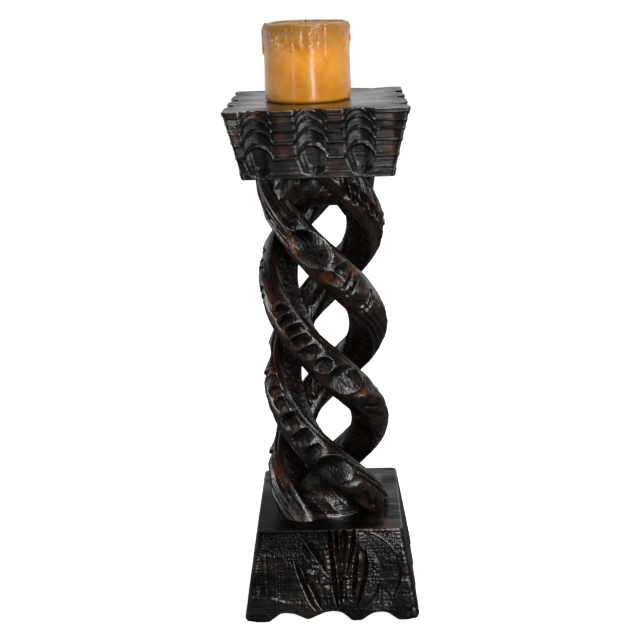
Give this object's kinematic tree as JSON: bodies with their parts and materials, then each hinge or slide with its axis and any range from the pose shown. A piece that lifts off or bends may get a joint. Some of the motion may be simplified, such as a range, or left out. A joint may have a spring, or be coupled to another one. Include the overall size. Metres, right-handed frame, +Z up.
{
  "type": "pillar candlestick",
  "caption": "Tall carved wooden candlestick with a tapered base, an open twisted column and a flared square capital that carries a pillar candle.",
  "frame": {"origin": "on the floor, under the middle of the square base", "axes": "+Z up along the column, -Y towards the front face with the carved leaf spray, +X to the right seen from the front"},
  "size_m": [0.162, 0.162, 0.533],
  "materials": {
    "dark_wood": "satin, dark brown stain worn through to red-brown",
    "dowel_wood": "plain sawn",
    "steel": "zinc plated",
    "wax": "glossy translucent wax",
    "wick": "charred braided cotton"
  },
  "bodies": {
    "candlestick": {"base_lower_board": "dark_wood", "base_upper_board": "dark_wood", "board_dowels": "dowel_wood", "foot_lag_screw": "steel", "foot_washer": "steel", "twist_column": "dark_wood", "column_dowels": "dowel_wood", "capital_block": "dark_wood", "capital_screw": "steel"},
    "candle": {"candle_body": "wax", "candle_wick": "wick"}
  },
  "joints": [
    {"name": "candle_lift", "type": "slide", "parent": "candlestick", "child": "candle", "axis": [0, 0, 1], "range_m": [0, 0.12]}
  ]
}
